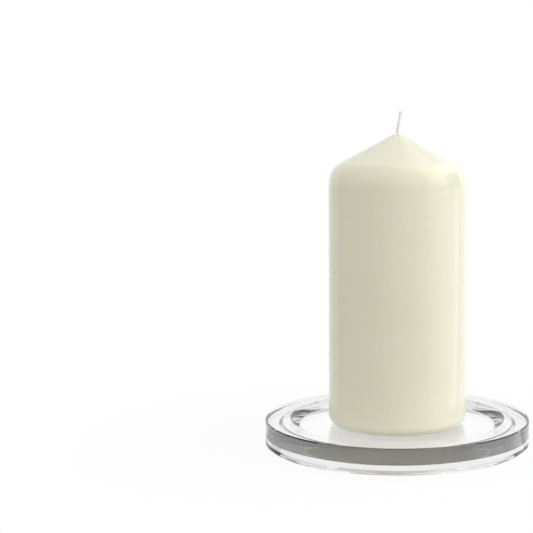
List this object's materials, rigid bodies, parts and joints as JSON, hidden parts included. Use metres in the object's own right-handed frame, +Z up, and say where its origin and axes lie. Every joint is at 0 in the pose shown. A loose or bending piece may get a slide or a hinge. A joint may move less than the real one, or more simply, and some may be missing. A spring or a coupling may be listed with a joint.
{
  "type": "candle plate",
  "caption": "Round clear glass candle plate with a flat rim and a shallow well, and an ivory pillar candle that lifts out of it.",
  "frame": {"origin": "centre of the underside, in the plane of the foot ring that the plate stands on", "axes": "+Z up the axis of the plate and the candle; +X is the side that the wick leans to"},
  "size_m": [0.11, 0.11, 0.1379],
  "materials": {
    "clear_glass": "pressed and fire polished",
    "ivory_wax": "satin wax",
    "wick_cotton": "braided, waxed",
    "tinned_steel": "tinned, pressed"
  },
  "bodies": {
    "plate": {"glass_plate": "clear_glass"},
    "candle": {"wax_body": "ivory_wax", "wick": "wick_cotton", "wick_tab": "tinned_steel"}
  },
  "joints": [
    {"name": "candle_lift", "type": "slide", "parent": "plate", "child": "candle", "axis": [0, 0, 1], "range_m": [0, 0.06]}
  ]
}
